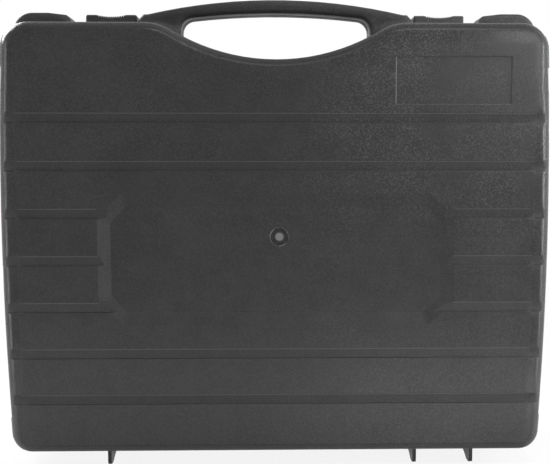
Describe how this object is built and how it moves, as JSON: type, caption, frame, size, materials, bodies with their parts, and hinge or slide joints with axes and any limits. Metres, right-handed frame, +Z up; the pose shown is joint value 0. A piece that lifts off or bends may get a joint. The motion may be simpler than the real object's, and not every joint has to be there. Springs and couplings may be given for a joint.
{
  "type": "portable gas stove in carry case",
  "caption": "Single-burner portable gas stove packed in its moulded carry case, which hinges open flat and shuts with sliding latches beside an arched handle.",
  "frame": {"origin": "on the floor under the middle of the closed case, in the parting plane of its two shells", "axes": "+Z up with the case standing on its feet and the handle on top, +X across the width to the viewer's right, -Y out of the front face"},
  "size_m": [0.3888, 0.108, 0.3354],
  "materials": {
    "case_plastic": "moulded dark grey, fine matt texture",
    "latch_plastic": "moulded dark grey, ribbed for the thumb",
    "bright_steel": "zinc plated wire and pins",
    "body_paint": "black satin paint on sheet steel",
    "zinc_sheet": "galvanised sheet steel",
    "black_rubber": "black rubber",
    "pan_enamel": "dark enamel",
    "support_enamel": "black gloss enamel",
    "cast_alloy": "bead-blasted die casting",
    "jet_brass": "turned brass",
    "white_ceramic": "glazed white ceramic",
    "piezo_plastic": "black moulding",
    "lead_sleeve": "pale insulating sleeve",
    "fascia_plastic": "dark moulding",
    "knob_plastic": "black moulding"
  },
  "bodies": {
    "base": {"rear_shell": "case_plastic", "hinge_pins": "bright_steel", "stove_body": "body_paint", "bottom_plate": "zinc_sheet", "stove_feet": "black_rubber", "bottom_screws": "bright_steel", "drip_pan": "pan_enamel", "pan_support": "support_enamel", "burner_cup": "cast_alloy", "burner_cap": "cast_alloy", "burner_stand": "zinc_sheet", "mixing_tube": "zinc_sheet", "gas_jet": "jet_brass", "electrode": "white_ceramic", "electrode_wire": "bright_steel", "piezo_igniter": "piezo_plastic", "spark_lead": "lead_sleeve", "regulator": "cast_alloy", "inlet_seal": "black_rubber", "regulator_bracket": "zinc_sheet", "partition": "zinc_sheet", "cartridge_cradles": "zinc_sheet", "cover_pin": "bright_steel", "front_fascia": "fascia_plastic", "pusher_spring": "bright_steel"},
    "lid": {"front_shell": "case_plastic"},
    "left_latch": {"latch_left": "latch_plastic"},
    "right_latch": {"latch_right": "latch_plastic"},
    "cover": {"cartridge_cover": "body_paint"},
    "knob": {"control_knob": "knob_plastic", "valve_spindle": "jet_brass"},
    "lever": {"lock_lever": "bright_steel"},
    "pusher": {"cartridge_pusher": "zinc_sheet"}
  },
  "joints": [
    {"name": "case_lid_hinge", "type": "hinge", "parent": "base", "child": "lid", "pos_m": [0, 0, 0.0045], "axis": [1, 0, 0], "range_deg": [0, 180]},
    {"name": "left_latch_slide", "type": "slide", "parent": "base", "child": "left_latch", "axis": [-1, 0, 0], "range_m": [0, 0.0085]},
    {"name": "right_latch_slide", "type": "slide", "parent": "base", "child": "right_latch", "axis": [1, 0, 0], "range_m": [0, 0.0085]},
    {"name": "cartridge_cover_hinge", "type": "hinge", "parent": "base", "child": "cover", "pos_m": [-0.1576, -0.0194, 0.1415], "axis": [0, 0, -1], "range_deg": [0, 80]},
    {"name": "knob_turn", "type": "hinge", "parent": "base", "child": "knob", "pos_m": [-0.112, 0.0066, 0.2825], "axis": [0, 0, 1], "range_deg": [0, 110]},
    {"name": "lock_lever_slide", "type": "slide", "parent": "base", "child": "lever", "axis": [0, 1, 0], "range_m": [0, 0.012]},
    {"name": "cartridge_pusher_slide", "type": "slide", "parent": "base", "child": "pusher", "axis": [0, 0, 1], "range_m": [0, 0.009], "deforming": ["pusher_spring"]}
  ],
  "couplings": [
    {"joint": "cartridge_cover_hinge", "follows": "case_lid_hinge", "ratio": 0.4444},
    {"joint": "cartridge_pusher_slide", "follows": "lock_lever_slide", "ratio": 0.75}
  ]
}
